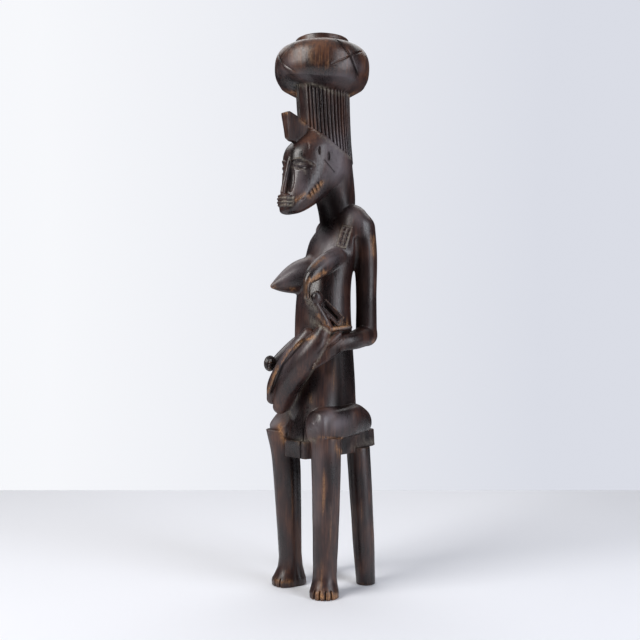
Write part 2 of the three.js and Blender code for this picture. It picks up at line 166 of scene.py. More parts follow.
def cut(low, high, shape, k=0.4):
    """Takes a shape that lies in a box away from the field."""
    spans, x, y, z = window(low, high, k + 3)
    field[spans] = soft_max(field[spans], -shape(x, y, z), k)


def smooth_line(knots, count):
    """Points along a smooth curve through the knots, with any further columns carried along."""
    p = np.array(knots, float)
    p = np.vstack([2 * p[0] - p[1], p, 2 * p[-1] - p[-2]])
    spans = len(p) - 3
    out = []
    for t in np.linspace(0, spans, count):
        i = min(int(t), spans - 1)
        f = t - i
        a, b, c, d = p[i:i + 4]
        bend = (2 * a - 5 * b + 4 * c - d) * f ** 2 + (3 * b - a - 3 * c + d) * f ** 3
        out.append(0.5 * (2 * b + (c - a) * f + bend))
    return np.array(out)


def read(rows, at):
    """The further columns of a table, each read between its rows at a coordinate in the first column."""
    rows = np.array(rows, float)
    return [np.interp(at, rows[:, 0], column).astype(np.float32) for column in rows.T[1:]]


def limb(knots, k=1.0, count=None, carve=False):
    """Round limb through knots of x, y, z, radius."""
    line = smooth_line(knots, count or 6 * (len(knots) - 1) + 1)
    reach = line[:, 3].max()
    low, high = line[:, :3].min(0) - reach, line[:, :3].max(0) + reach
    spans, x, y, z = window(low, high, k + 3)
    made = np.full(np.broadcast_shapes(x.shape, y.shape, z.shape), 99, np.float32)
    for a, b in zip(line[:-1], line[1:]):
        d = b[:3] - a[:3]
        length = max(float(d @ d), 1e-6)
        px, py, pz = x - a[0], y - a[1], z - a[2]
        t = np.clip((px * d[0] + py * d[1] + pz * d[2]) / length, 0, 1)
        gap = np.sqrt((px - t * d[0]) ** 2 + (py - t * d[1]) ** 2 + (pz - t * d[2]) ** 2)
        made = np.minimum(made, gap - (a[3] + t * (b[3] - a[3])))
    if carve:
        field[spans] = soft_max(field[spans], -made, k)
    else:
        field[spans] = soft_min(field[spans], made, k)


def turned(x, y, z, centre, turn):
    """Coordinates in a turned frame; turn is a 3 x 3 matrix whose columns are the frame's axes."""
    px, py, pz = x - centre[0], y - centre[1], z - centre[2]
    return [px * turn[0][i] + py * turn[1][i] + pz * turn[2][i] for i in range(3)]


def frame_of(along, up):
    """Columns: across, up made square to along, along."""
    along = np.array(along, float)
    along /= np.linalg.norm(along)
    up = np.array(up, float)
    up -= along * (up @ along)
    up /= np.linalg.norm(up)
    return np.stack([np.cross(up, along), up, along], 1)


def euler(x=0, y=0, z=0):
    """Columns of a frame turned about x, then y, then z, in degrees."""
    turn = Matrix.Rotation(math.radians(z), 3, "Z") @ Matrix.Rotation(math.radians(y), 3, "Y")
    return np.array(turn @ Matrix.Rotation(math.radians(x), 3, "X"))


def ellipsoid(centre, radii, turn=np.eye(3), k=1.0, carve=False):
    """Egg shape with three radii, added or carved away."""
    reach = max(radii)
    low, high = np.array(centre) - reach, np.array(centre) + reach

    def shape(x, y, z):
        q = [c / r for c, r in zip(turned(x, y, z, centre, turn), radii)]
        k0 = np.sqrt(sum(c * c for c in q))
        k1 = np.sqrt(sum((c / r) ** 2 for c, r in zip(q, radii)))
        return k0 * (k0 - 1) / np.maximum(k1, 1e-3)

    (cut if carve else add)(low, high, shape, k)


def block(centre, half, turn=np.eye(3), rounding=0.5, k=1.0, carve=False):
    """Box given by half its sizes, with rounded edges, added or carved away."""
    reach = float(np.linalg.norm(half))
    low, high = np.array(centre) - reach, np.array(centre) + reach

    def shape(x, y, z):
        q = [np.abs(c) - (h - rounding) for c, h in zip(turned(x, y, z, centre, turn), half)]
        outside = np.sqrt(sum(np.maximum(c, 0) ** 2 for c in q))
        return outside + np.minimum(np.maximum(np.maximum(q[0], q[1]), q[2]), 0) - rounding

    (cut if carve else add)(low, high, shape, k)


def column(rows, k=1.0):
    """Stack of level sections: height, centre y, half width, half depth, squareness."""
    rows = smooth_line(rows, 12 * len(rows))
    wide = rows[:, 2].max()
    low = (-wide, (rows[:, 1] - rows[:, 3]).min(), rows[:, 0].min())
    high = (wide, (rows[:, 1] + rows[:, 3]).max(), rows[:, 0].max())

    def shape(x, y, z):
        cy, rx, ry, n = read(rows, z)
        level = (np.abs(x / rx) ** n + np.abs((y - cy) / ry) ** n) ** (1 / n)
        return np.maximum((level - 1) * np.minimum(rx, ry), np.maximum(low[2] - z, z - high[2]))

    add(low, high, shape, k)


def outline_gap(u, v, points):
    """Signed distance to a closed outline, negative inside."""
    best = np.full(np.broadcast_shapes(u.shape, v.shape), 1e9)
    inside = np.zeros(best.shape, bool)
    for (ax, ay), (bx, by) in zip(points, np.roll(points, -1, axis=0)):
        dx, dy = bx - ax, by - ay
        t = np.clip(((u - ax) * dx + (v - ay) * dy) / max(dx * dx + dy * dy, 1e-9), 0, 1)
        best = np.minimum(best, (u - ax - t * dx) ** 2 + (v - ay - t * dy) ** 2)
        crosses = (ay > v) != (by > v)
        inside ^= crosses & (u < (bx - ax) * (v - ay) / (by - ay if by != ay else 1e-9) + ax)
    return np.where(inside, -1, 1) * np.sqrt(best)


def lookup(u, v, u0, v0, step, table):
    """Reads a table made on a regular grid, with even blending between its cells."""
    fu = np.clip((u - u0) / step, 0, table.shape[0] - 1.001)
    fv = np.clip((v - v0) / step, 0, table.shape[1] - 1.001)
    iu, iv = fu.astype(np.int32), fv.astype(np.int32)
    du, dv = fu - iu, fv - iv
    top = table[iu, iv] * (1 - du) + table[iu + 1, iv] * du
    low = table[iu, iv + 1] * (1 - du) + table[iu + 1, iv + 1] * du
    return (top * (1 - dv) + low * dv).astype(np.float32)


def noise_field(cells, seed):
    """Smooth noise over the whole grid, -1 to 1; cells are its grain along x, y, z in millimetres."""
    rng = np.random.default_rng(seed)
    size = [int(np.ceil((HIGH[i] - LOW[i]) / cells[i])) + 4 for i in range(3)]
    values = rng.uniform(-1, 1, size).astype(np.float32)
    for i, n in enumerate((NX, NY, NZ)):
        at = (AXES[i] - LOW[i]) / cells[i] + 1
        first = at.astype(int)
        f = at - first
        weights = np.zeros((n, size[i]), np.float32)
        rows = np.arange(n)
        weights[rows, first - 1] += (1 - f) ** 3 / 6
        weights[rows, first] += (3 * f ** 3 - 6 * f ** 2 + 4) / 6
        weights[rows, first + 1] += (-3 * f ** 3 + 3 * f ** 2 + 3 * f + 1) / 6
        weights[rows, first + 2] += f ** 3 / 6
        values = np.moveaxis(np.tensordot(weights, values, axes=(1, i)), 0, i)
    return values * 1.8


def sample(values, points):
    """Reads a grid at points given in millimetres."""
    at = (points - LOW) / VOXEL
    at = np.clip(at, 0, np.array(values.shape) - 1.001)
    i = at.astype(np.int32)
    f = (at - i).astype(np.float32)
    out = np.zeros(len(points), np.float32)
    for dx in (0, 1):
        for dy in (0, 1):
            for dz in (0, 1):
                share = np.where((dx, dy, dz), f, 1 - f).prod(axis=1)
                out += share * values[i[:, 0] + dx, i[:, 1] + dy, i[:, 2] + dz]
    return out


def onto(points, inward, reach=200.0):
    """Where lines from these points, going inward, meet the surface made so far."""
    begin = np.array(points, float)
    inward = np.array(inward, float)
    inward = inward / np.linalg.norm(inward, axis=-1, keepdims=True)
    gone = np.zeros(len(begin))
    for _ in range(60):
        gap = sample(field, begin + inward * gone[:, None])
        gone = np.clip(gone + gap * 0.8, 0, reach)
    return begin + inward * gone[:, None]


def seen(places):
    """Surface places under marks given across and up in the upright plane that faces the eye."""
    places = np.array(places, float)
    eye = NEARER * DISTANCE + (0, 0, EYE_HEIGHT)
    plane = ACROSS * places[:, :1] + np.array((0, 0, 1)) * places[:, 1:]
    toward = plane - eye
    begin = eye + toward * (1 - SIGHT_START / DISTANCE)
    return onto(begin, toward)


def dense(places, gap=3.0):
    """A line through places, with further ones put between them."""
    out = [np.array(places[0], float)]
    for a, b in zip(places[:-1], places[1:]):
        a, b = np.array(a, float), np.array(b, float)
        steps = max(int(np.linalg.norm(b - a) / gap), 1)
        out += [a + (b - a) * i / steps for i in range(1, steps + 1)]
    return out


def scribe(laid, radius, k=0.3, taper=0.5):
    """Groove of a round tool along a line of places on the surface."""
    width = np.full(len(laid), radius)
    width[[0, -1]] *= taper
    limb(np.column_stack([laid, width]), k=k, count=2 * len(laid), carve=True)


def incise(points, inward, radius, k=0.3, taper=0.5):
    """Groove along a line that is first laid on the surface."""
    scribe(onto(points, inward), radius, k, taper)


def hairline_z(y):
    """Height of the hairline at a place from front to back."""
    return read(smooth_line(HAIRLINE, 60), y)[0]


def hair_section(z):
    """Centre y and radius of the hair column at a height."""
    return read(smooth_line(HAIR, 80), z)


# Trunk, neck, shoulders and arms
TRUNK = [
    (190, 2, 39, 49.5, 3.2), (222, 2, 39.5, 49, 3), (250, 3, 41, 46, 2.5), (290, 4.5, 42.5, 42.5, 2.2),
    (340, 3, 43, 40.5, 2), (385, 2, 42, 38, 2), (415, 3.5, 41, 36.5, 2), (440, 8, 40.5, 34, 2),
    (466, 15, 41, 31, 2), (492, 22, 40, 28, 2), (512, 28, 27, 24, 2), (524, 29.5, 24, 22, 2),
]
NECK = [
    (496, 29, 26, 25, 2), (516, 29.5, 25.5, 24.5, 2), (535, 28.5, 26.5, 26.8, 2), (560, 24, 29.5, 30.5, 2),
    (606, 11.8, 34, 34, 2), (650, 5, 34, 34, 2),
]
column(TRUNK, k=1)
ellipsoid((22, 36, SHOULDER_Z - 5), (34, 26, 40), k=12)
ellipsoid((-17, 42, SHOULDER_Z - 6), (27, 20, 38), k=10)
for side, shoulder_x in ((-1, -34), (1, 40)):
    limb([
        (shoulder_x, SHOULDER_Y, SHOULDER_Z, 17.5), (side * 43, ARM_Y, 470, 16.5),
        (side * ARM_X, ARM_Y, 415, 14.8), (side * ARM_X, ARM_Y, ELBOW_Z, 15),
    ], k=6)
column(NECK, k=1.5)
limb([(45, 44, ELBOW_Z, 15), (54, 12, 350, 13.2), (51, -14, 345, 11), (44, -31, 335, 9.5)], k=3)
limb([(-45, 44, ELBOW_Z, 15), (-53, 10, 345, 13.2), (-51, -20, 330, 11), (-46, -44, 317, 9.5)], k=3)

# Deep hollow between the trunk and each upper arm
scribe(seen(dense([(49.9, 494.4), (50.6, 470.2), (49.2, 434.5)])), 3.6, k=4)
limb([(-44, 19, 470, 3), (-46, 20, 452, 4.5), (-44, 22, 430, 4)], k=6, carve=True)

# Breasts: the right one pointed, the left one drawn down into the child's mouth
RIGHT_BREAST = [(-15, -4, 442, 28), (-20, -24, 438, 23.5), (-26.5, -47, 430.5, 13.5), (-31, -65, 425, 3.6)]
LEFT_BREAST = [
    (30, 2, 466, 11), (29, -20, 456, 13.6), (31.5, -43, 442, 11.5), (32.5, -55, 432, 6.8),
    (32.4, -58, 420, 4.6), (32.5, -57.5, 409, 4.4),
]
limb(RIGHT_BREAST, k=5, count=80)
limb(LEFT_BREAST, k=4, count=60)

# Thigh: y, half width, underside, top, squareness
THIGH = [
    (-55, 5, 230, 239, 2), (-53, 13, 222, 245, 2.2), (-48, 18.5, 209, 253, 2.6),
    (-33, 20, 205, THIGH_TOP_Z, 2.9), (-5, 20, 212, THIGH_TOP_Z + 1, 2.8),
    (25, 20.5, 215, THIGH_TOP_Z + 3, 2.6), (42, 18.5, 217, THIGH_TOP_Z - 4, 2.4),
    (51, 14, 219, THIGH_TOP_Z - 12, 2.3), (55, 8, 226, THIGH_TOP_Z - 20, 2.2), (56.5, 3, 231, 232, 2),
]


def thigh(side):
    rows = smooth_line(THIGH, 80)

    def shape(x, y, z):
        half, low, high, n = read(rows, y)
        cx = side * KNEE_X * np.interp(y, [10, 30], [1, 0.9]).astype(np.float32)
        tall = (high - low) / 2
        level = (np.abs((x - cx) / half) ** n + np.abs((z - (low + high) / 2) / tall) ** n) ** (1 / n)
        return np.maximum((level - 1) * np.minimum(half, tall), np.abs(y - 1) - 56)

    add((side * KNEE_X - 22, -56, 200), (side * KNEE_X + 22, 57, 262), shape, 2)


# Lower leg: height, distance out, y, radius; the upper rows differ between left (1) and right (-1)
SHIN = [
    (0, ANKLE_X, ANKLE_Y, 15.8), (34, ANKLE_X, ANKLE_Y, ANKLE_RADIUS),
    (60, 37.5, -28.5, 17), (120, 40, -29.5, 18.6),
]
KNEES = {
    1: [(170, 41.5, -30.5, 20), (205, 42, -31.5, 20.6), (KNEE_LEDGE_Z, 41.8, -31.6, 21.2)],
    -1: [(165, 41.5, -30.8, 19.8), (190, 42.4, -33, 20.3), (KNEE_LEDGE_Z + 3.5, 45, -38, 21.6)],
}

# Foot: height, reach ahead, reach aside. Heel: height, reach behind past the ankle
FOOT = [(0, 27, 19), (8, 27.3, 19), (14, 24, 18), (25, 18.5, 16.6), (38, ANKLE_RADIUS, ANKLE_RADIUS)]
HEELS = {1: [(0, 0), (38, 0)], -1: [(0, 7.5), (8, 7), (14, 5), (25, 2), (45, 0)]}
TOES = 5
TOES_SPREAD_DEG = 92.0


def lower_leg(side, turn):
    leg = smooth_line(SHIN + KNEES[side], 60)
    foot = smooth_line(FOOT, 40)
    aim = math.radians(270 + side * turn)
    top = KNEES[side][-1][0]

    def shape(x, y, z):
        cx, cy, r = read(leg, z)
        toe, wide = read(foot, z)
        px, py = x - side * cx, y - cy
        angle = np.arctan2(py, px) - aim
        ahead = np.maximum(np.cos(angle), 0)
        behind = read(HEELS[side], z)[0] * np.maximum(-np.cos(angle), 0)
        radius = r + (toe - ANKLE_RADIUS) * ahead ** 1.2 + (wide - ANKLE_RADIUS) * np.sin(angle) ** 2 + behind
        return np.maximum(np.hypot(px, py) - radius, np.maximum(-z, z - top))

    add((side * 42 - 30, -64, 0), (side * 42 + 30, 4, top + 1), shape, 0.7)
    for i in range(1, TOES):
        gap = aim + math.radians((i / TOES - 0.5) * TOES_SPREAD_DEG)
        at = (side * ANKLE_X + math.cos(gap) * 28.5, ANKLE_Y + math.sin(gap) * 28.5, 3)
        block(at, (6.5, 0.9, 9.5), euler(z=math.degrees(gap)), k=1.2, carve=True)


# Rear legs of the stool: height, distance out, y, radius. The right one stands further out and forward
STOOL_LEGS = {
    1: [(0, 36.5, 51.6, 13.4), (60, 35, 48.9, 15.6), (STOOL_LEG_TOP_Z, 29.5, 43.4, 16.8)],
    -1: [(0, 39.5, 48.3, 13.4), (60, 38, 45.6, 15.6), (STOOL_LEG_TOP_Z, 29.5, 43.4, 16.8)],
}


def stool_leg(side):
    def shape(x, y, z):
        cx, cy, r = read(STOOL_LEGS[side], z)
        return np.maximum(np.hypot(x - side * cx, y - cy) - r, np.maximum(-z, z - STOOL_LEG_TOP_Z))

    add((side * 36 - 22, 26, 0), (side * 36 + 22, 68, STOOL_LEG_TOP_Z + 1), shape, 0.5)


def below_floor(x, y, z):
    return z + 0 * x + 0 * y


for side, foot_turn in ((-1, RIGHT_FOOT_TURN), (1, LEFT_FOOT_TURN)):
    thigh(side)
    lower_leg(side, foot_turn)
    stool_leg(side)
cut((-80, -90, -40), (80, 90, 0), below_floor, 0)

# Flat facet on the right knee
block((-43, -48.2, 251), (22, 30, 15), euler(x=43), k=1.5, carve=True)


# Seat board, tilted up to the back: half of its outline as distance out, y
SEAT_OUTLINE = [(21, -52), (34, -26), (38, 65), (36, 70), (31, SEAT_BACK_Y)]


def seat():
    tilt = math.radians(SEAT_TILT_DEG)
    outline = np.array(SEAT_OUTLINE + [(-u, v) for u, v in reversed(SEAT_OUTLINE)])
    grid = outline_gap(np.arange(-60, 61)[:, None], np.arange(-90, 111)[None, :], outline)

    def shape(x, y, z):
        v = y * math.cos(tilt) + (z - SEAT_MIDDLE_Z) * math.sin(tilt)
        w = (z - SEAT_MIDDLE_Z) * math.cos(tilt) - y * math.sin(tilt)
        plan = lookup(x + 0 * v, v + 0 * x, -60, -90, 1, grid)
        return soft_max(plan, np.abs(w) - SEAT_THICKNESS / 2, 1.0)

    add((-40, -56, 180), (40, 76, 226), shape, 0.6)


seat()

# Head: height, front y, back y, half width
HEAD = [
    (CHIN_Z, -70, -57, 7), (526, -73.5, -48, 12.5), (534, -74, -34, 17.8), (546, -70.5, -18, 23),
    (560, -67, -2, 28), (574, -64.5, 12, 32.3), (590, -62.5, 23, 35.6), (606, -62, 29, 36.2),
    (618, -56.5, 29, 35.5), (627, -47, 26, 33.5), (635, -37.5, 20, 31), (645, -28, 12, 28), (656, -16, 4, 22),
]


def head_shape(x, y, z):
    front, back, half = read(smooth_line(HEAD, 120), z)
    waist = front + 0.45 * (back - front)
    ahead = np.clip((waist - y) / (waist - front), 0, None)
    behind_waist = (y - waist) / np.maximum(back - waist, 1)
    side = half * np.interp(behind_waist, [0, 0.55, 0.65, 1], [1, 1.03, 1.01, 0.9])
    level = np.sqrt((x / side.astype(np.float32)) ** 2 + ahead ** 2)
    skull = (level - 1) * np.minimum(half, waist - front)
    behind = (y - back) * 0.74
    above = (z - hairline_z(y + 0 * z)) * 0.8
    below = CHIN_Z + 0.5 - z
    return soft_max(soft_max(soft_max(skull, behind, 2.5), below, 5), above, 1.2) + 0 * x


add((-38, -76, 516), (38, 32, 668), head_shape, 1.5)


def eye(side):
    """Almond hollow with a level ridge for the eye, thin raised lids, and the groove beside the nose."""
    groove = [
        (side * 6.2, -62.5, 590, 1.8), (side * 7.4, -62.5, 578, 4.0), (side * 8.6, -64.5, 565, 4.4),
        (side * 9.2, -67, 555, 2.6),
    ]
    ball = [
        (side * 9.5, -57.5, EYE_Z + 0.4, 1.6), (side * 18, -54.6, EYE_Z + 1.4, 3.2),
        (side * 28, -45.5, EYE_Z + 0.4, 1.8),
    ]
    upper_lid = [
        (side * 6, -63.4, EYE_Z + 6.6, 0.7), (side * 10, -62, EYE_Z + 9.2, 1.2),
        (side * 17, -58.2, EYE_Z + 10.6, 1.3), (side * 24, -52, EYE_Z + 9.6, 1.3),
        (side * 29.4, -45, EYE_Z + 5.6, 1.2), (side * 31.6, -40, EYE_Z + 0.6, 0.8),
    ]
    lower_lid = [
        (side * 10, -60, EYE_Z - 4.6, 0.7), (side * 19, -56.6, EYE_Z - 6.8, 1.1),
        (side * 28.4, -47, EYE_Z - 3.6, 0.8),
    ]
    limb(groove, k=0.8, carve=True)
    ellipsoid((side * 19.5, -62.2, EYE_Z + 0.2), (14.5, 8.2, 6.6), euler(z=side * 36), k=1.2, carve=True)
    limb(ball, k=1.0)
    limb(upper_lid, k=0.8)
    limb(lower_lid, k=0.8)


for side in (-1, 1):
    eye(side)

# Long narrow nose running into the mouth block with its grooves
NOSE = [
    (0, -60.5, 602, 2.2), (0, -63.5, 588, 3.0), (0, -67.6, 572, 3.2), (0, -71, 560, 3.5),
    (0, -72.5, 552, 3.8),
]
limb(NOSE, k=1.2)
block((0, -66.5, MOUTH_Z), (10.8, 10.6, 9.2), rounding=5.5, k=1.0)
FAN = [math.radians(v) for v in range(-84, 85, 12)]
for i in (-1, 0, 1):
    ring = [(math.sin(v) * 30, -64 - math.cos(v) * 30, MOUTH_Z + i * MOUTH_GROOVE_STEP) for v in FAN]
    incise(ring, [(-math.sin(v), math.cos(v), 0) for v in FAN], 1.25)

# Temple slits, brow mark, long cheek lines and cheek notches, the same on both sides. Each has its tool's
# radius and its places, across and up in the upright plane that faces the eye
FACE_MARKS = [
    (1.9, [(-3.7, 624.9), (-3.6, 619.5), (-3.3, 614.2)]),
    (2.4, [(10, 617), (10.1, 611.3), (10.3, 605.6)]),
    (1.0, [(3.4, 606.5), (10.6, 597.7), (17.7, 588.7)]),
    (1.2, [(-21.4, 632.7), (-19.7, 627), (-19.2, 620.8)]),
    (1.1, [(-39.2, 547.9), (-32.8, 551.5), (-27.1, 556.4)]),
    (1.0, [(-31.4, 548.6), (-27.1, 550), (-22.8, 553.2)]),
]
CHEEK_NOTCHES = [(-17.1, 556.3), (-12.8, 560.9), (-8.6, 565.7), (-4.3, 570.3), (0, 574.3)]
FACE_MARKS += [(1.7, [(u - 1.6, v + 4), (u, v), (u + 1.8, v - 4)]) for u, v in CHEEK_NOTCHES]
laid = [(radius, seen(places)) for radius, places in FACE_MARKS]
for radius, places in laid:
    scribe(places, radius, taper=0.35)
    scribe(places * (-1, 1, 1), radius, taper=0.35)


# Crest over the forehead, seen from the side: y, height
CREST = [
    (-71, 662), (-65, 664), (-52, 660), (-37, 652), (-24, 646),
    (-24, 628), (-46, 623), (-60, 624), (-66, 628),
]


def crest():
    grid = outline_gap(np.arange(-90, 1)[:, None], np.arange(610, 681)[None, :], np.array(CREST))

    def shape(x, y, z):
        side = lookup(y + 0 * z, z + 0 * y, -90, 610, 1, grid)
        half = np.interp(z, [624, 640, 662], [4.2, 4.8, 6.6]).astype(np.float32)
        return soft_max(side + 0 * x, np.abs(x) - half, 1.2)

    add((-8, -73, 620), (8, -22, 666), shape, 1.2)


crest()


# Hair column with flutes, and the raised hairline
def from_flute_middle(x, y, centre_y):
    """How far a place round the column is from a flute's middle, in flutes, and whether it is fluted."""
    turn = np.degrees(np.arctan2(np.abs(x), centre_y - y))
    along = (turn - FRONT_STRIP_DEG) * FLUTES_PER_SIDE / (180 - FRONT_STRIP_DEG)
    return np.abs(along % 1 - 0.5), turn > FRONT_STRIP_DEG


def hair_shape(x, y, z):
    cy, r = hair_section(z)
    away = np.hypot(x, y - cy)
    off, fluted = from_flute_middle(x, y, cy)
    groove = np.clip(1 - off / FLUTE_HALF_SHARE, 0, 1) ** 0.7 * fluted
    below = (hairline_z(y + 0 * z) - z) * 0.8
    return np.maximum(away - r + FLUTE_DEPTH * groove, below)


add((-42, -42, 590), (42, 54, 712), hair_shape, 0.5)


def ridge_shape(x, y, z):
    cy, r = hair_section(z)
    off = (z - hairline_z(y + 0 * z)) * 0.8
    thick = np.interp(y, [-35, 20, 34], [1.5, 1.5, 0.3]).astype(np.float32)
    return np.hypot(np.hypot(x, y - cy) - r + 0.5, off) - thick


add((-44, -44, 590), (44, 56, 660), ridge_shape, 1.0)


# Pot, hollow and open: radius, height over its base
POT_UNDERSIDE = [(0, -4), (36, -4), (48, 1.5)]
POT_BODY = [(60.5, 9), (65.8, 20), (67.4, 34), (66, 47), (60.5, 57), (50, 63.5), (39, 66)]
POT_RIM = [
    (COLLAR_RADIUS + 0.2, 69), (COLLAR_RADIUS, POT_HEIGHT - 1), (COLLAR_RADIUS - 1.2, POT_HEIGHT),
    (MOUTH_RADIUS + 1.5, POT_HEIGHT), (MOUTH_RADIUS, POT_HEIGHT - 1.5), (MOUTH_RADIUS, 62),
]
POT_INSIDE = [(MOUTH_RADIUS, 62), (47, 54), (56.5, 36), (46, 22), (20, POT_FLOOR + 0.5)]
LIFTED_HEIGHT = 30.0


def pot():
    body = smooth_line(POT_BODY, 50)
    inside = smooth_line(POT_INSIDE, 24)[1:]
    outline = np.vstack([POT_UNDERSIDE, body, POT_RIM, inside, [(0, POT_FLOOR)]]) + (0, POT_BASE_Z)
    step = 0.5
    radii = np.arange(0, 80, step)
    heights = np.arange(POT_BASE_Z - 12, TOTAL_HEIGHT + 8, step)
    grid = outline_gap(radii[:, None], heights[None, :], outline)

    def shape(x, y, z):
        r = np.hypot(x, y)
        off = np.degrees(np.arctan2(y, x)) - UNDERSIDE_LIFT_DEG
        lift = UNDERSIDE_LIFT * np.exp(-(off / UNDERSIDE_LIFT_SPREAD) ** 2) * np.minimum(1, r / 36)
        low = np.minimum(z - POT_BASE_Z, LIFTED_HEIGHT)
        level = POT_BASE_Z + (low - lift) / (1 - lift / LIFTED_HEIGHT) + (z - POT_BASE_Z - low)
        return lookup(r + 0 * z, level, 0, heights[0], step, grid) * (1 - lift / 40)

    add((-68, -68, POT_BASE_Z - 4), (68, 68, TOTAL_HEIGHT), shape, 0.6)


def pot_cross(azimuth, long_lean, short_lean):
    """Two crossing lines cut into the pot's side."""
    lines = ((long_lean, LONG_LINE, INCISION), (short_lean, SHORT_LINE, INCISION * 0.75))
    middle = math.radians(azimuth)
    for lean, length, radius in lines:
        lean = math.radians(lean)
        line = []
        for t in np.linspace(-length / 2, length / 2, 11):
            turn = middle + t * math.sin(lean) / POT_RADIUS
            line.append((math.cos(turn) * OUTSIDE, math.sin(turn) * OUTSIDE, CROSS_Z - t * math.cos(lean)))
        incise(line, (-math.cos(middle), -math.sin(middle), 0), radius)


pot()
for cross in CROSSES:
    pot_cross(*cross)
add((-42, -42, POT_BASE_Z - 20), (42, 54, POT_BASE_Z + 16), hair_shape, 0.4)

# Child across the lap: its legs with the groove between them, its trunk and its hip
NEAR_LEG = [
    (44, -38, 362, 10), (37, -44, 344, 16), (24, -51.5, 324, 18), (3, -57, 297, 17.2),
    (-12, -59.5, 276, 14.2), (-21, -59.5, 257, 10.5),
]
FAR_LEG = [
    (22, -46, 358, 9), (10, -54, 338, 12.5), (-12, -60.5, 309, 12.8), (-29, -62.5, 287, 10.8),
    (-37, -61, 267, 8),
]
BETWEEN_LEGS = [
    (-24.2, 350.4), (-35.6, 341.9), (-44.2, 331.2), (-56.3, 311.9), (-65.6, 295.5), (-72.7, 270.6),
]
limb(FAR_LEG, k=1.0)
limb(NEAR_LEG, k=0.8)
scribe(seen(dense(BETWEEN_LEGS)), 2.3, k=0.6)
limb([(37, -46, 398, 6), (41, -39, 385, 6.2), (44, -32, 372, 6.4), (45, -28, 364, 6)], k=1.5)
block((49, -15, 366), (7, 3.4, 20), frame_of((8, 35, 3), (0, 0, 1)), rounding=3, k=1.2)

# Its head at the breast, with open lips and an ear knob
ellipsoid((38.5, -44.5, 407.5), (7.2, 9.0, 9.0), euler(x=24), k=1)
ellipsoid((35, -52.5, 404), (3.6, 5.4, 5.2), k=0.6, carve=True)
LIPS = [
    (30.3, -58.8, 407.9, 1.4), (32.4, -58, 401.9, 1.9), (35.2, -55.8, 398.7, 2.1), (38.2, -51, 402.4, 2.0),
    (39.6, -48.1, 408.6, 1.6),
]
limb(LIPS, k=0.6)
ellipsoid((41.5, -49, 414.5), (2.6, 2.6, 2.6), k=0.6)

# Its folded arm: a flat raised loop with a long groove
ARM_FRAME = frame_of((16, 20, -25), (0.74, -0.67, 0.1))
ARM_CENTRE = np.array((43.5, -23.5, 388))
block(ARM_CENTRE, (7.6, 7.4, 18.5), ARM_FRAME, rounding=1.2, k=0.8)
block(ARM_CENTRE + ARM_FRAME[:, 1] * 9, (5.8, 3.6, 16.5), ARM_FRAME, rounding=1.0, k=0.5, carve=True)
block(ARM_CENTRE + ARM_FRAME[:, 1] * 7, (2.2, 6.5, 13), ARM_FRAME, rounding=0.8, k=0.4, carve=True)

# Hands: the left one grips the child's hip, the right one its far leg
for i in range(4):
    limb([
        (57 - i * 0.4, -18 - i * 1.5, 350 - i * 4.8, 4.0),
        (53 - i * 0.6, -33.5 - i * 1.4, 339 - i * 4.5, 3.7),
        (44 - i * 0.8, -49 - i * 1.4, 325 - i * 3.8, 2.8),
    ], k=0.5)
limb([(56, -20, 358, 4.0), (53.5, -31, 350, 4.8), (47, -45, 341, 3.0)], k=0.6)
for i in range(3):
    limb([
        (-48, -42 - i * 1.5, 322 - i * 3.8, 3.4),
        (-45, -57 - i, 320 - i * 3.8, 3.4),
        (-36, -66 - i * 0.5, 317 - i * 3.6, 3.0),
    ], k=0.8)

# Side of the right hand, and the belly where the child's feet rest against it
ellipsoid((-46, -58, 316), (6.5, 10, 11.5), k=2)
ellipsoid((-14, -40, 264), (11, 11, 22), k=8)

# Crack down the trunk's front and the seat's edge
for x, y, low, high, half in ((12.4, -47, 206, 246, 0.45), (11.8, -52, 185, 210, 0.4)):
    block((x, y, (low + high) / 2), (half, 5, (high - low) / 2), rounding=0.1, k=0.3, carve=True)

# Panel of cut marks on the chest: a raised frame around two columns of zigzag pits, places across and up
PANEL = [(29.7, 512.7), (42.2, 509.5), (33.4, 480.2), (21.1, 483.9)]
PANEL_SIDES = list(zip(PANEL, PANEL[1:] + PANEL[:1]))
PANEL_PITS = [
    (32.5, 506.8), (30.4, 500.4), (28.5, 493.9), (26.5, 487.6),
    (38.4, 504.7), (36.6, 498.8), (34.6, 492.6), (32.5, 486),
]
for ends in PANEL_SIDES:
    outward = np.array(ends) + np.sign(np.array(ends) - np.mean(PANEL, axis=0)) * 0.3
    bar = seen(dense(outward))
    limb(np.column_stack([bar, np.full(len(bar), 0.9)]), k=0.4)
for u, v in PANEL_PITS:
    scribe(seen([(u - 0.9, v - 1.4), (u, v), (u + 0.9, v + 1.4)]), 1.5, taper=0.7)

# Hand-cut unevenness, broad and fine: depth, grain along x, y and z, seed
for depth, cells, seed in ((0.32, (15, 15, 30), 3), (0.14, (5, 5, 11), 8)):
    field += depth * noise_field(cells, seed)


def blurred(values, reach):
    """Box blur, twice along each axis."""
    n = max(int(round(reach / VOXEL)), 1)
    for axis in range(3):
        for _ in range(2):
            total = np.cumsum(values, axis=axis, dtype=np.float32)
            ahead = np.roll(total, -n, axis=axis)
            behind = np.roll(total, n + 1, axis=axis)
            values = (ahead - behind) / (2 * n + 1)
    return values


def surface():
    """The field's surface as one mesh, with its vertices in millimetres."""
    grid = openvdb.FloatGrid(3 * VOXEL)
    grid.copyFromArray(np.clip(field, -3 * VOXEL, 3 * VOXEL).astype(np.float32), tolerance=0.0)
    points, triangles, quads = grid.convertToPolygons(isovalue=0.0, adaptivity=0.0)
    points = points * VOXEL + LOW
    return points, triangles, quads


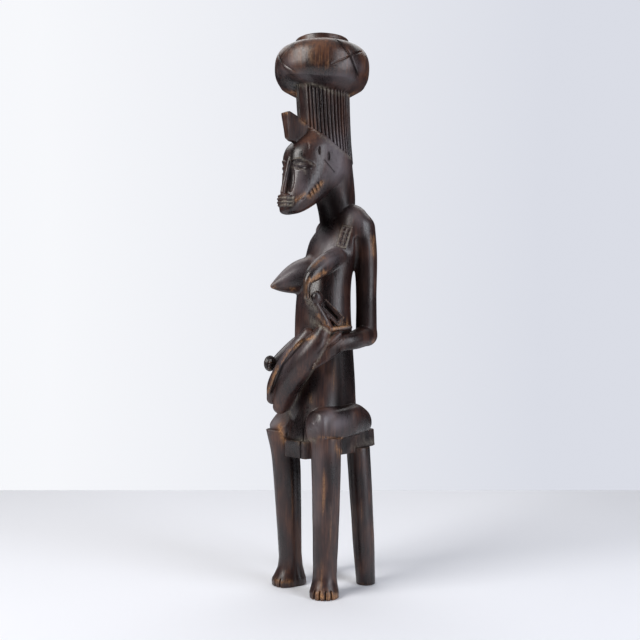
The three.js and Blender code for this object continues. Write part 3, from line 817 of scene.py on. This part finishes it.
points, triangles, quads = surface()
mesh = bpy.data.meshes.new("carved_figure")
mesh.from_pydata(points.tolist(), [], quads.tolist() + triangles.tolist())
figure = bpy.data.objects.new("carved_figure", mesh)
bpy.context.scene.collection.objects.link(figure)

# Thinned to no more than the set number of triangles
faces = len(quads) * 2 + len(triangles)
if faces > TRIANGLES:
    thin = figure.modifiers.new("thin", "DECIMATE")
    thin.ratio = TRIANGLES / faces
    shown = figure.evaluated_get(bpy.context.evaluated_depsgraph_get())
    lean = bpy.data.meshes.new_from_object(shown)
    figure.modifiers.clear()
    figure.data = lean
    bpy.data.meshes.remove(mesh)
    mesh = lean
    mesh.name = "carved_figure"

count = len(mesh.vertices)
spots = np.empty(count * 3, np.float32)
mesh.vertices.foreach_get("co", spots)
spots = spots.reshape(-1, 3)

# Shading normals from the field
steps = np.eye(3) * VOXEL * 0.8
slope = np.stack([sample(field, spots + step) - sample(field, spots - step) for step in steps], 1)
slope /= np.maximum(np.linalg.norm(slope, axis=1), 1e-6)[:, None]

# How far each place stands out as an edge, or lies back in a hollow
solid = np.clip(0.5 - field / (2 * VOXEL), 0, 1)
near = sample(blurred(solid, 2.0), spots)
wide = sample(blurred(solid, 5.0), spots)
edge = np.clip((0.37 - near) * 7, 0, 1)
hollow = np.clip((near - 0.55) * 5, 0, 1) * 0.5 + np.clip((wide - 0.56) * 5, 0, 1) * 0.5

# Where each place is seen, in the upright plane through the axis that faces the eye
shrink = DISTANCE / (DISTANCE - spots @ NEARER)
seen_across = spots @ ACROSS * shrink
seen_up = EYE_HEIGHT + (spots[:, 2] - EYE_HEIGHT) * shrink
turned_near = np.clip(slope @ NEARER * 2 + 0.6, 0, 1)


def strokes(rows):
    """Soft strokes on the near side: from across, up, to across, up, half width and strength of each."""
    total = np.zeros(count)
    for u0, z0, u1, z1, wide, strength in rows:
        du, dz = u1 - u0, z1 - z0
        t = np.clip(((seen_across - u0) * du + (seen_up - z0) * dz) / max(du * du + dz * dz, 1e-6), 0, 1)
        gap = np.hypot(seen_across - u0 - t * du, seen_up - z0 - t * dz)
        total = np.maximum(total, strength * np.exp(-(gap / wide) ** 2))
    return total * turned_near


# Strokes are given as across, up, to across, up, half width, strength. First wear, down to bare wood
WORN = [
    # Breasts
    (-73.3, 426, -69.9, 424.6, 4.6, 1), (-45.6, 423.1, -41.4, 420.3, 3.4, 0.7),
    (-18.5, 433.1, 2.9, 445.9, 3.7, 1), (-12.8, 454.5, 2.9, 465.9, 3.1, 0.5),
    (-20.7, 433.1, -20.7, 410.3, 3.7, 0.75),
    # Cheek notches and lines
    (-13.5, 557.9, -10.7, 562.9, 3.1, 1), (-8.6, 562.2, -5.7, 568.6, 3.1, 1),
    (-3.6, 568.6, -0.7, 573.6, 2.9, 0.9), (-37.1, 548.6, -24.2, 557.2, 2.6, 0.6),
    (-21.4, 554.3, -15.7, 554.3, 2.9, 0.8),
    # Crest and the pot's underside and front
    (-54.8, 674.4, -42.8, 669.1, 2, 0.9), (-42.8, 669.1, -24.2, 657, 1.7, 0.7),
    (-52.8, 702.6, -37.1, 701.2, 3.1, 0.8), (39.9, 698.3, 58.5, 702.6, 3.1, 0.8),
    (-20, 759.6, 4.3, 742.5, 10, 0.3),
    # Left arm, elbow and trunk
    (72, 494.4, 72, 468.8, 3.1, 0.8), (74.1, 346.1, 74.9, 344.7, 3.1, 0.7), (16.4, 317.6, 17.1, 282, 2, 0.5),
    # Child: ridge of the far leg, near foot, hip and arm
    (-12.8, 353.3, -28.5, 347.6, 2.7, 1), (-28.5, 347.6, -47.8, 331.9, 2.9, 1),
    (-47.8, 331.9, -60.2, 314, 2.6, 0.95), (-60.2, 314, -69.9, 294.8, 2.6, 0.8),
    (-69.9, 294.8, -77, 274.8, 2.3, 0.6), (-18.5, 269.1, -15.7, 263.4, 3.6, 0.45),
    (15.7, 364.7, 38.5, 370.4, 2.9, 0.9), (-5.7, 384.6, 12.8, 363.2, 2.6, 0.7),
    # Knees
    (-61.3, 226.4, -54.2, 205, 3.4, 0.9), (17.1, 197.8, 27.1, 189.3, 2.6, 0.75),
    (-4.3, 210.7, 28.5, 208.5, 1.7, 0.6),
    # Lower legs and rear leg
    (2.9, 156.5, 1.4, 106.6, 2, 0.6), (12.8, 113.7, 11.4, 63.8, 1.6, 0.3),
    (-44.2, 163.6, -42.8, 92.3, 1.7, 0.35), (54.2, 163.6, 57, 92.3, 1.7, 0.25),
    (-1.4, 35.3, -1.4, -4.6, 2.1, 0.4),
    # Toes
    (-2, -16.5, 20, -18, 7, 1), (-8, -13, 22, -14, 4, 0.8), (-65.6, 5.3, -44.2, 3.9, 4.3, 0.6),
]

# Pale dust that has settled in corners and grooves
DUSTY = [
    # Corner between hair and pot
    (-37.1, 712.6, -14.3, 714, 2, 0.8), (-14.3, 714, 0, 709, 2, 0.9), (0, 709, 18.5, 701.2, 2.1, 0.9),
    (18.5, 701.2, 39.9, 697.6, 1.9, 0.7),
    # Hairline
    (-8.6, 646.3, 15.7, 627, 1.3, 0.45), (15.7, 627, 41.4, 607.1, 1.3, 0.4),
    # Eyelids
    (-46.3, 606.4, -31.4, 609.2, 1.4, 0.45), (-31.4, 609.2, -11.4, 598.5, 1.4, 0.4),
    (-44.2, 595.7, -22.8, 590, 1.4, 0.4), (-39.9, 599.9, -25.7, 599.9, 1.1, 0.3),
    # Mouth block
    (-58.5, 552.5, -41.4, 551.5, 1.4, 0.9), (-58.5, 546.8, -41.4, 546.3, 1.4, 0.9),
    (-58.5, 541.5, -44.2, 541.5, 1.4, 0.8), (-41.4, 552.9, -41.4, 541.5, 1.1, 0.5),
    # Child: head, hip, the corner between its leg and the trunk, and its feet
    (-24.2, 409.6, -18.5, 400.3, 1.4, 0.5), (-17.1, 401.7, -8.6, 393.2, 3.1, 0.45),
    (-15.7, 377.5, 12.8, 358.3, 1.9, 0.9), (14.3, 357.5, -7.1, 317.6, 1.6, 0.5),
    (-7.1, 317.6, -42.8, 252, 1.6, 0.4), (-47.1, 247.7, -44.2, 240.6, 2.3, 0.6),
    # Seat board
    (-32.8, 205, -11.4, 206.4, 3.4, 0.5), (42.8, 196.4, 75.6, 205, 3.1, 0.6),
    # Middle of the chest panel
    (35.5, 507.3, 28.4, 483, 1.1, 0.5),
]
DUSTY += [(*a, *b, 1.1, 0.75) for a, b in PANEL_SIDES]

# Painted shade in hollows, under the jaw and on the neck, between trunk and upper arm, on the trunk under the
# left hand and on sides turned away from the light, and dark stain in cut lines
SHADED_AND_STAINED = [
    # Pot: foot, rim and lower side
    (-17.1, 722.6, 32.8, 719.7, 5.7, 0.35), (-35.6, 791, 32.8, 791, 5.7, 0.4),
    # Crosses on the pot
    (22, 776.7, 40.2, 752.9, 1.3, 0.9), (40.2, 752.9, 51.3, 726, 1.7, 1), (54.5, 763.3, 18.1, 740.2, 1, 0.7),
    (-37.1, 776, -59.9, 752.5, 1.1, 0.6), (-63.5, 757.5, -53.5, 736.8, 1.1, 0.7),
    (-53.5, 736.8, -37.1, 722.6, 1.4, 0.8),
    # Hair and crest
    (-42.8, 674.1, -37.1, 642.7, 8.6, 0.45), (20, 696.9, 31.4, 665.5, 11.4, 0.5),
    (-49.9, 648.4, -42.8, 637, 4.3, 0.5),
    # Beside the nose, eye and temple cuts
    (-41.4, 619.9, -47.1, 582.8, 2.9, 0.9), (-45.6, 594.2, -47.8, 562.9, 3.4, 1),
    (-22.8, 594.2, -14.3, 597.1, 2.6, 0.7), (-3.6, 624.2, -3.3, 614.9, 1.6, 1),
    (10, 616.3, 10.3, 606.4, 2.1, 1), (3.4, 606.5, 17.7, 588.7, 1, 0.8),
    # Under the jaw and behind it, and the neck
    (0, 538.6, 4.3, 514.4, 11.4, 1), (14.3, 548.6, 25.7, 517.2, 12.8, 1), (31.4, 580, 39.9, 541.5, 8.6, 0.7),
    (11.4, 558.6, 29.9, 538.6, 11.4, 0.8), (35.6, 567.1, 42.8, 541.5, 5.7, 0.5),
    (39.9, 588.5, 44.2, 548.6, 2.3, 0.6),
    # Between trunk and upper arm
    (57, 460.2, 51.3, 363.2, 12.8, 0.95), (71.3, 406, 71.3, 356.1, 7.1, 0.6),
    (32.8, 460.2, 35.6, 406, 8.6, 0.5), (58.5, 491.6, 55.6, 370.4, 8.6, 0.95),
    # Child: ear, folded arm, hands and the grooves along its legs
    (-20, 417.4, -14.3, 408.9, 3.1, 0.8), (4.3, 401.7, 22.1, 378.9, 3.1, 1),
    (2.9, 353.3, -5.7, 341.9, 2.3, 0.6), (5.7, 343.3, -5.7, 330.4, 1.4, 0.7),
    (-55.6, 313.3, -71.3, 274.8, 2, 1), (-24.2, 349, -55.6, 313.3, 1.9, 1),
    # Trunk under the left hand
    (22.8, 334.7, 24.2, 256.3, 8.6, 0.9), (42.8, 334.7, 37.1, 256.3, 12.8, 0.75),
    (18.5, 334.7, 11.4, 303.4, 11.4, 0.7), (-5.7, 303.4, -31.4, 256.3, 10, 0.6),
    # Seat board and the crack
    (32.8, 203.5, 71.3, 209.2, 8.6, 0.4), (-27.4, 249.2, -27.1, 209.2, 1.1, 0.9),
    (-30.5, 203.5, -30.5, 180.7, 1.3, 0.9),
    # Legs, in the shade of the seat
    (42.8, 177.9, 51.3, 120.8, 12.8, 0.4), (11.4, 180.7, 11.4, 120.8, 5.7, 0.4),
    (-42.8, 177.9, -37.1, 163.6, 12.8, 0.7),
]
SHADED_AND_STAINED += [(u - 1.4, v + 3.9, u + 1.5, v - 3.7, 1, 1) for u, v in CHEEK_NOTCHES[:-1]]
SHADED_AND_STAINED += [(u, v, u, v, 1.3, 1) for u, v in PANEL_PITS]

# Painted sheen: lighter greyish colour where highlights fall
PAINTED_SHEEN = [
    # Pot
    (-54.2, 734, -45.6, 745.4, 8.6, 0.45), (39.9, 745.4, 54.2, 736.8, 7.1, 0.4),
    (-31.4, 725.4, 39.9, 722.6, 7.1, 0.4),
    # Temple, cheek and brow
    (17.1, 625.6, 22.8, 588.5, 15.7, 0.9), (5.7, 584.3, -5.7, 565.7, 8.6, 0.5),
    (-34.2, 588.5, -28.5, 565.7, 11.4, 0.55),
    # Shoulder, chest and breasts
    (39.9, 532.9, 57, 517.2, 8.6, 0.5), (-5.7, 503, 10, 477.3, 14.3, 0.7),
    (-14.3, 460.2, -24.2, 406, 11.4, 0.15), (-55.6, 440.2, -34.2, 451.6, 12.8, 0.75),
    (-77, 428.8, -61.3, 443.1, 8.6, 0.6), (-8.6, 460.2, 17.1, 465.9, 8.6, 0.5),
    # Child's legs
    (-48.5, 331.9, -31.4, 346.1, 12.8, 0.6), (-62.7, 303.4, -48.5, 331.9, 11.4, 0.55),
    # Thigh, right knee and near leg
    (-8.6, 227.8, 11.4, 240.6, 10, 0.7), (21.4, 229.2, 29.9, 233.5, 10, 0.8),
    (-75.6, 224.9, -65.6, 233.5, 5.7, 1), (-5.7, 189.3, -10, 92.3, 8.6, 0.3),
]


def flute_shade():
    """Painted shade, dark in the flutes of the hair."""
    x, y, z = spots.T
    centre_y, radius = hair_section(z)
    off, fluted = from_flute_middle(x, y, centre_y)
    on_column = np.abs(np.hypot(x, y - centre_y) - radius) < 3
    between_ends = (z > hairline_z(y) + 2) & (z < POT_BASE_Z + 12)
    return np.clip(1.35 - off / FLUTE_HALF_SHARE, 0, 1) * (fluted & on_column & between_ends)


# Red holds the worn wood, green the dust, blue the redder wood of the pot and alpha the painted sheen
marks = np.zeros((count, 4), np.float32)
marks[:, 0] = np.clip(np.maximum(edge * 0.5, strokes(WORN)), 0, 1)
marks[:, 1] = np.clip(np.maximum(hollow * 0.12, strokes(DUSTY)), 0, 1)
marks[:, 2] = np.clip((spots[:, 2] - POT_BASE_Z - 12) / 8, 0, 1)
marks[:, 3] = strokes(PAINTED_SHEEN)
layer = mesh.color_attributes.new("marks", "FLOAT_COLOR", "POINT")
layer.data.foreach_set("color", marks.ravel())

# Painted shade from the hollows, the hair's flutes and the listed strokes, with dark stain in cut lines, in a
# layer of its own
shade_and_stain = np.maximum(np.maximum(hollow * 0.8, strokes(SHADED_AND_STAINED)), flute_shade())
shade = mesh.attributes.new("shade", "FLOAT", "POINT")
shade.data.foreach_set("value", np.clip(shade_and_stain, 0, 1).astype(np.float32))

# Into the frame's own place and metres
moved = (spots + np.array([0, FRAME_Y, 0])) * MM
mesh.vertices.foreach_set("co", moved.astype(np.float32).ravel())
mesh.shade_smooth()
mesh.update()
mesh.normals_split_custom_set_from_vertices(slope.tolist())


# Colours of the painted sheen, of dust, and of the painted shade and stain
SHEEN_COLOUR = (0.135, 0.115, 0.125)
DUST_COLOUR = (0.26, 0.23, 0.18)
SHADE_AND_STAIN_COLOUR = (0.006, 0.004, 0.004)


def wood():
    """Old dark wood, blotched and redder on the pot, with painted sheen, wear, dust, and painted shade and
    stain where marked.
    """
    made = bpy.data.materials.new("old_dark_wood")
    made.use_nodes = True
    nodes, links = made.node_tree.nodes, made.node_tree.links
    shader = nodes["Principled BSDF"]

    def node(kind, inputs=(), **settings):
        new = nodes.new("ShaderNode" + kind)
        for name, value in settings.items():
            setattr(new, name, value)
        for name, value in dict(inputs).items():
            if isinstance(value, bpy.types.NodeSocket):
                links.new(value, new.inputs[name])
            else:
                new.inputs[name].default_value = value
        return new

    place = node("TexCoord").outputs["Object"]

    def grain(scale, detail, roughness, move=0.0):
        moved = node("Mapping", {"Vector": place, "Scale": scale, "Location": (move, move, move)})
        look = {"Vector": moved.outputs["Vector"], "Scale": 1.0, "Detail": detail, "Roughness": roughness}
        return node("TexNoise", look).outputs["Fac"]

    def ramp(value, *stops, colour=False):
        new = node("ValToRGB", {"Fac": value})
        elements = new.color_ramp.elements
        while len(elements) < len(stops):
            elements.new(0.5)
        for element, (at, tone) in zip(elements, stops):
            element.position = at
            element.color = (*tone, 1) if colour else (tone, tone, tone, 1)
        return new.outputs["Color"]

    def maths(operation, a, b):
        return node("Math", {0: a, 1: b}, operation=operation).outputs[0]

    def mixed(share, a, b):
        new = node("Mix", data_type="RGBA")
        for socket, value in ((new.inputs[0], share), (new.inputs[6], a), (new.inputs[7], b)):
            if isinstance(value, bpy.types.NodeSocket):
                links.new(value, socket)
            else:
                socket.default_value = (*value, 1)
        return new.outputs[2]

    fine = grain((420, 420, 30), 2, 0.5)
    streak = grain((95, 95, 9), 4, 0.6, 3.7)
    blotch = grain((30, 30, 15), 3, 0.5, 9.1)
    speck = grain((520, 520, 380), 2, 0.5, 1.3)

    marked = node("Attribute", attribute_name="marks").outputs
    parts = node("SeparateColor", {"Color": marked["Color"]}).outputs
    worn, dusty, red = parts["Red"], parts["Green"], parts["Blue"]
    dark = node("Attribute", attribute_name="shade").outputs["Fac"]

    tone = maths("ADD", maths("MULTIPLY", fine, 0.3), maths("MULTIPLY", blotch, 0.7))
    base = ramp(
        tone, (0.38, (0.006, 0.0028, 0.0028)), (0.46, (0.016, 0.0066, 0.0060)),
        (0.55, (0.034, 0.0135, 0.0108)), (0.66, (0.085, 0.0350, 0.0210)), colour=True,
    )
    ruddy = ramp(
        tone, (0.38, (0.010, 0.0040, 0.0034)), (0.50, (0.040, 0.0140, 0.0075)), (0.64, (0.120, 0.045, 0.018)),
        colour=True,
    )
    colour = mixed(maths("MULTIPLY", red, ramp(blotch, (0.28, 0.1), (0.52, 1.0))), base, ruddy)

    # Painted sheen: lighter, greyer colour on the places in the sheen list
    sheen_share = maths("MULTIPLY", marked["Alpha"], ramp(blotch, (0.30, 0.45), (0.60, 1.0)))
    colour = mixed(sheen_share, colour, SHEEN_COLOUR)

    torn = maths("ADD", maths("MULTIPLY", streak, 0.6), maths("MULTIPLY", fine, 0.4))
    torn = maths("ADD", torn, maths("MULTIPLY", worn, 0.10))
    bare = maths("MULTIPLY", worn, ramp(torn, (0.46, 0.0), (0.60, 1.0)))
    orange = ramp(speck, (0.35, (0.16, 0.065, 0.022)), (0.65, (0.42, 0.21, 0.085)), colour=True)
    colour = mixed(bare, colour, orange)

    dust = maths("MULTIPLY", dusty, ramp(speck, (0.36, 0.15), (0.62, 1.0)))
    colour = mixed(dust, colour, DUST_COLOUR)
    # Painted shade, with dark stain in cut lines, darkens the colour
    colour = mixed(maths("MULTIPLY", dark, ramp(blotch, (0.3, 1.0), (0.75, 0.7))), colour, SHADE_AND_STAIN_COLOUR)
    links.new(colour, shader.inputs["Base Color"])

    uneven = maths("ADD", maths("MULTIPLY", blotch, 0.5), maths("MULTIPLY", speck, 0.5))
    dull = maths("ADD", ramp(uneven, (0.40, 0.27), (0.60, 0.46)), maths("MULTIPLY", dust, 0.35))
    dull = maths("ADD", dull, maths("MULTIPLY", bare, 0.12))
    links.new(dull, shader.inputs["Roughness"])
    # The painted shade also lowers the specular level, so that no sheen shows there
    links.new(maths("SUBTRACT", 0.55, maths("MULTIPLY", dark, 0.52)), shader.inputs["Specular IOR Level"])

    height = maths("ADD", maths("MULTIPLY", fine, 0.6), maths("MULTIPLY", speck, 0.25))
    bump = node("Bump", {"Height": height, "Strength": 0.22, "Distance": 0.0009})
    links.new(bump.outputs["Normal"], shader.inputs["Normal"])
    return made


figure.data.materials.clear()
figure.data.materials.append(wood())
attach(figure, "root")
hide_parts(NODE)


# Camera: the picture is 640 pixels wide, its lens has this length in pixels and the pot's axis stands here
FOCAL_PIXELS = 850.0
FRAME_PIXELS = 640.0
AXIS_PIXEL = 322.0
SENSOR = 36.0

right = Vector(ACROSS)
nearer = Vector(NEARER)
aside = (AXIS_PIXEL - FRAME_PIXELS / 2) * DISTANCE / FOCAL_PIXELS
camera = bpy.data.objects.new("camera", bpy.data.cameras.new("camera"))
bpy.context.scene.collection.objects.link(camera)
camera.data.sensor_width = SENSOR
camera.data.lens = SENSOR * FOCAL_PIXELS / FRAME_PIXELS
camera.location = (nearer * DISTANCE - right * aside + Vector((0, FRAME_Y, EYE_HEIGHT))) * MM
camera.rotation_mode = "QUATERNION"
camera.rotation_quaternion = (-nearer).to_track_quat("-Z", "Y")
bpy.context.scene.camera = camera


def plain(name, colour, roughness):
    """Material of one even colour."""
    made = bpy.data.materials.new(name)
    made.use_nodes = True
    shader = made.node_tree.nodes["Principled BSDF"]
    shader.inputs["Base Color"].default_value = (*colour, 1)
    shader.inputs["Roughness"].default_value = roughness
    return made


# Floor, in metres: it ends a little way behind the figure, as seen from the camera
FLOOR_SIZE = 60.0
FLOOR_BEHIND = 0.675
floor_at = nearer * (FLOOR_SIZE / 2 - FLOOR_BEHIND)
bpy.ops.mesh.primitive_plane_add(size=FLOOR_SIZE, location=floor_at, rotation=(0, 0, math.radians(AZIMUTH)))
floor = bpy.context.object
floor.name = "floor"
floor.data.materials.append(plain("pale_floor", (0.85, 0.86, 0.905), 0.75))


def area_light(name, at, aim, size, power, colour=(1, 1, 1)):
    """Soft light at a place, aimed at another, with its size in metres and power in watts."""
    data = bpy.data.lights.new(name, "AREA")
    data.shape = "RECTANGLE"
    data.size, data.size_y = size
    data.energy = power
    data.color = colour
    lamp = bpy.data.objects.new(name, data)
    lamp.location = at
    lamp.rotation_mode = "QUATERNION"
    lamp.rotation_quaternion = (aim - at).to_track_quat("-Z", "Y")
    bpy.context.scene.collection.objects.link(lamp)


up = Vector((0, 0, 1))
middle = up * 0.42
area_light("key", middle - right * 1.2 + nearer * 0.85 + up, middle, (0.9, 1.2), 30, (1, 0.985, 0.96))
area_light("fill", middle + right * 1.25 + nearer * 0.95 + up * 0.4, middle, (0.8, 1.6), 20, (0.90, 0.93, 1))
area_light("top", middle + nearer * 0.2 + up * 1.5, middle, (1.4, 1.4), 3)
area_light("behind", up * 1.7 - nearer * 1.1, -nearer, (2.4, 1.2), 18)


# Dim light all round; the ground behind is pale on the left, and painted shade makes it greyer on the right
DIM = (0.06, 0.062, 0.07)
PALE_LEFT = (0.93, 0.94, 0.97)
SHADED_PALE_RIGHT = (0.70, 0.72, 0.79)


def studio():
    """Dim even light, and a pale ground behind, seen only by the camera, with painted shade that makes it
    greyer towards the right.
    """
    world = bpy.data.worlds.new("studio")
    world.use_nodes = True
    nodes, links = world.node_tree.nodes, world.node_tree.links
    shaded = nodes["Background"]
    shaded.inputs["Color"].default_value = (*DIM, 1)
    seen = nodes.new("ShaderNodeBackground")
    toward = nodes.new("ShaderNodeVectorMath")
    toward.operation = "DOT_PRODUCT"
    toward.inputs[1].default_value = right
    links.new(nodes.new("ShaderNodeTexCoord").outputs["Generated"], toward.inputs[0])
    tones = nodes.new("ShaderNodeMapRange")
    tones.data_type = "FLOAT_VECTOR"
    for socket, value in ((7, (-0.3,) * 3), (8, (0.25,) * 3), (9, PALE_LEFT), (10, SHADED_PALE_RIGHT)):
        tones.inputs[socket].default_value = value
    links.new(toward.outputs["Value"], tones.inputs[6])
    links.new(tones.outputs[1], seen.inputs["Color"])
    chosen = nodes.new("ShaderNodeMixShader")
    links.new(nodes.new("ShaderNodeLightPath").outputs["Is Camera Ray"], chosen.inputs[0])
    links.new(shaded.outputs[0], chosen.inputs[1])
    links.new(seen.outputs[0], chosen.inputs[2])
    links.new(chosen.outputs[0], nodes["World Output"].inputs["Surface"])
    return world


bpy.context.scene.world = studio()
bpy.context.scene.view_settings.view_transform = "Standard"
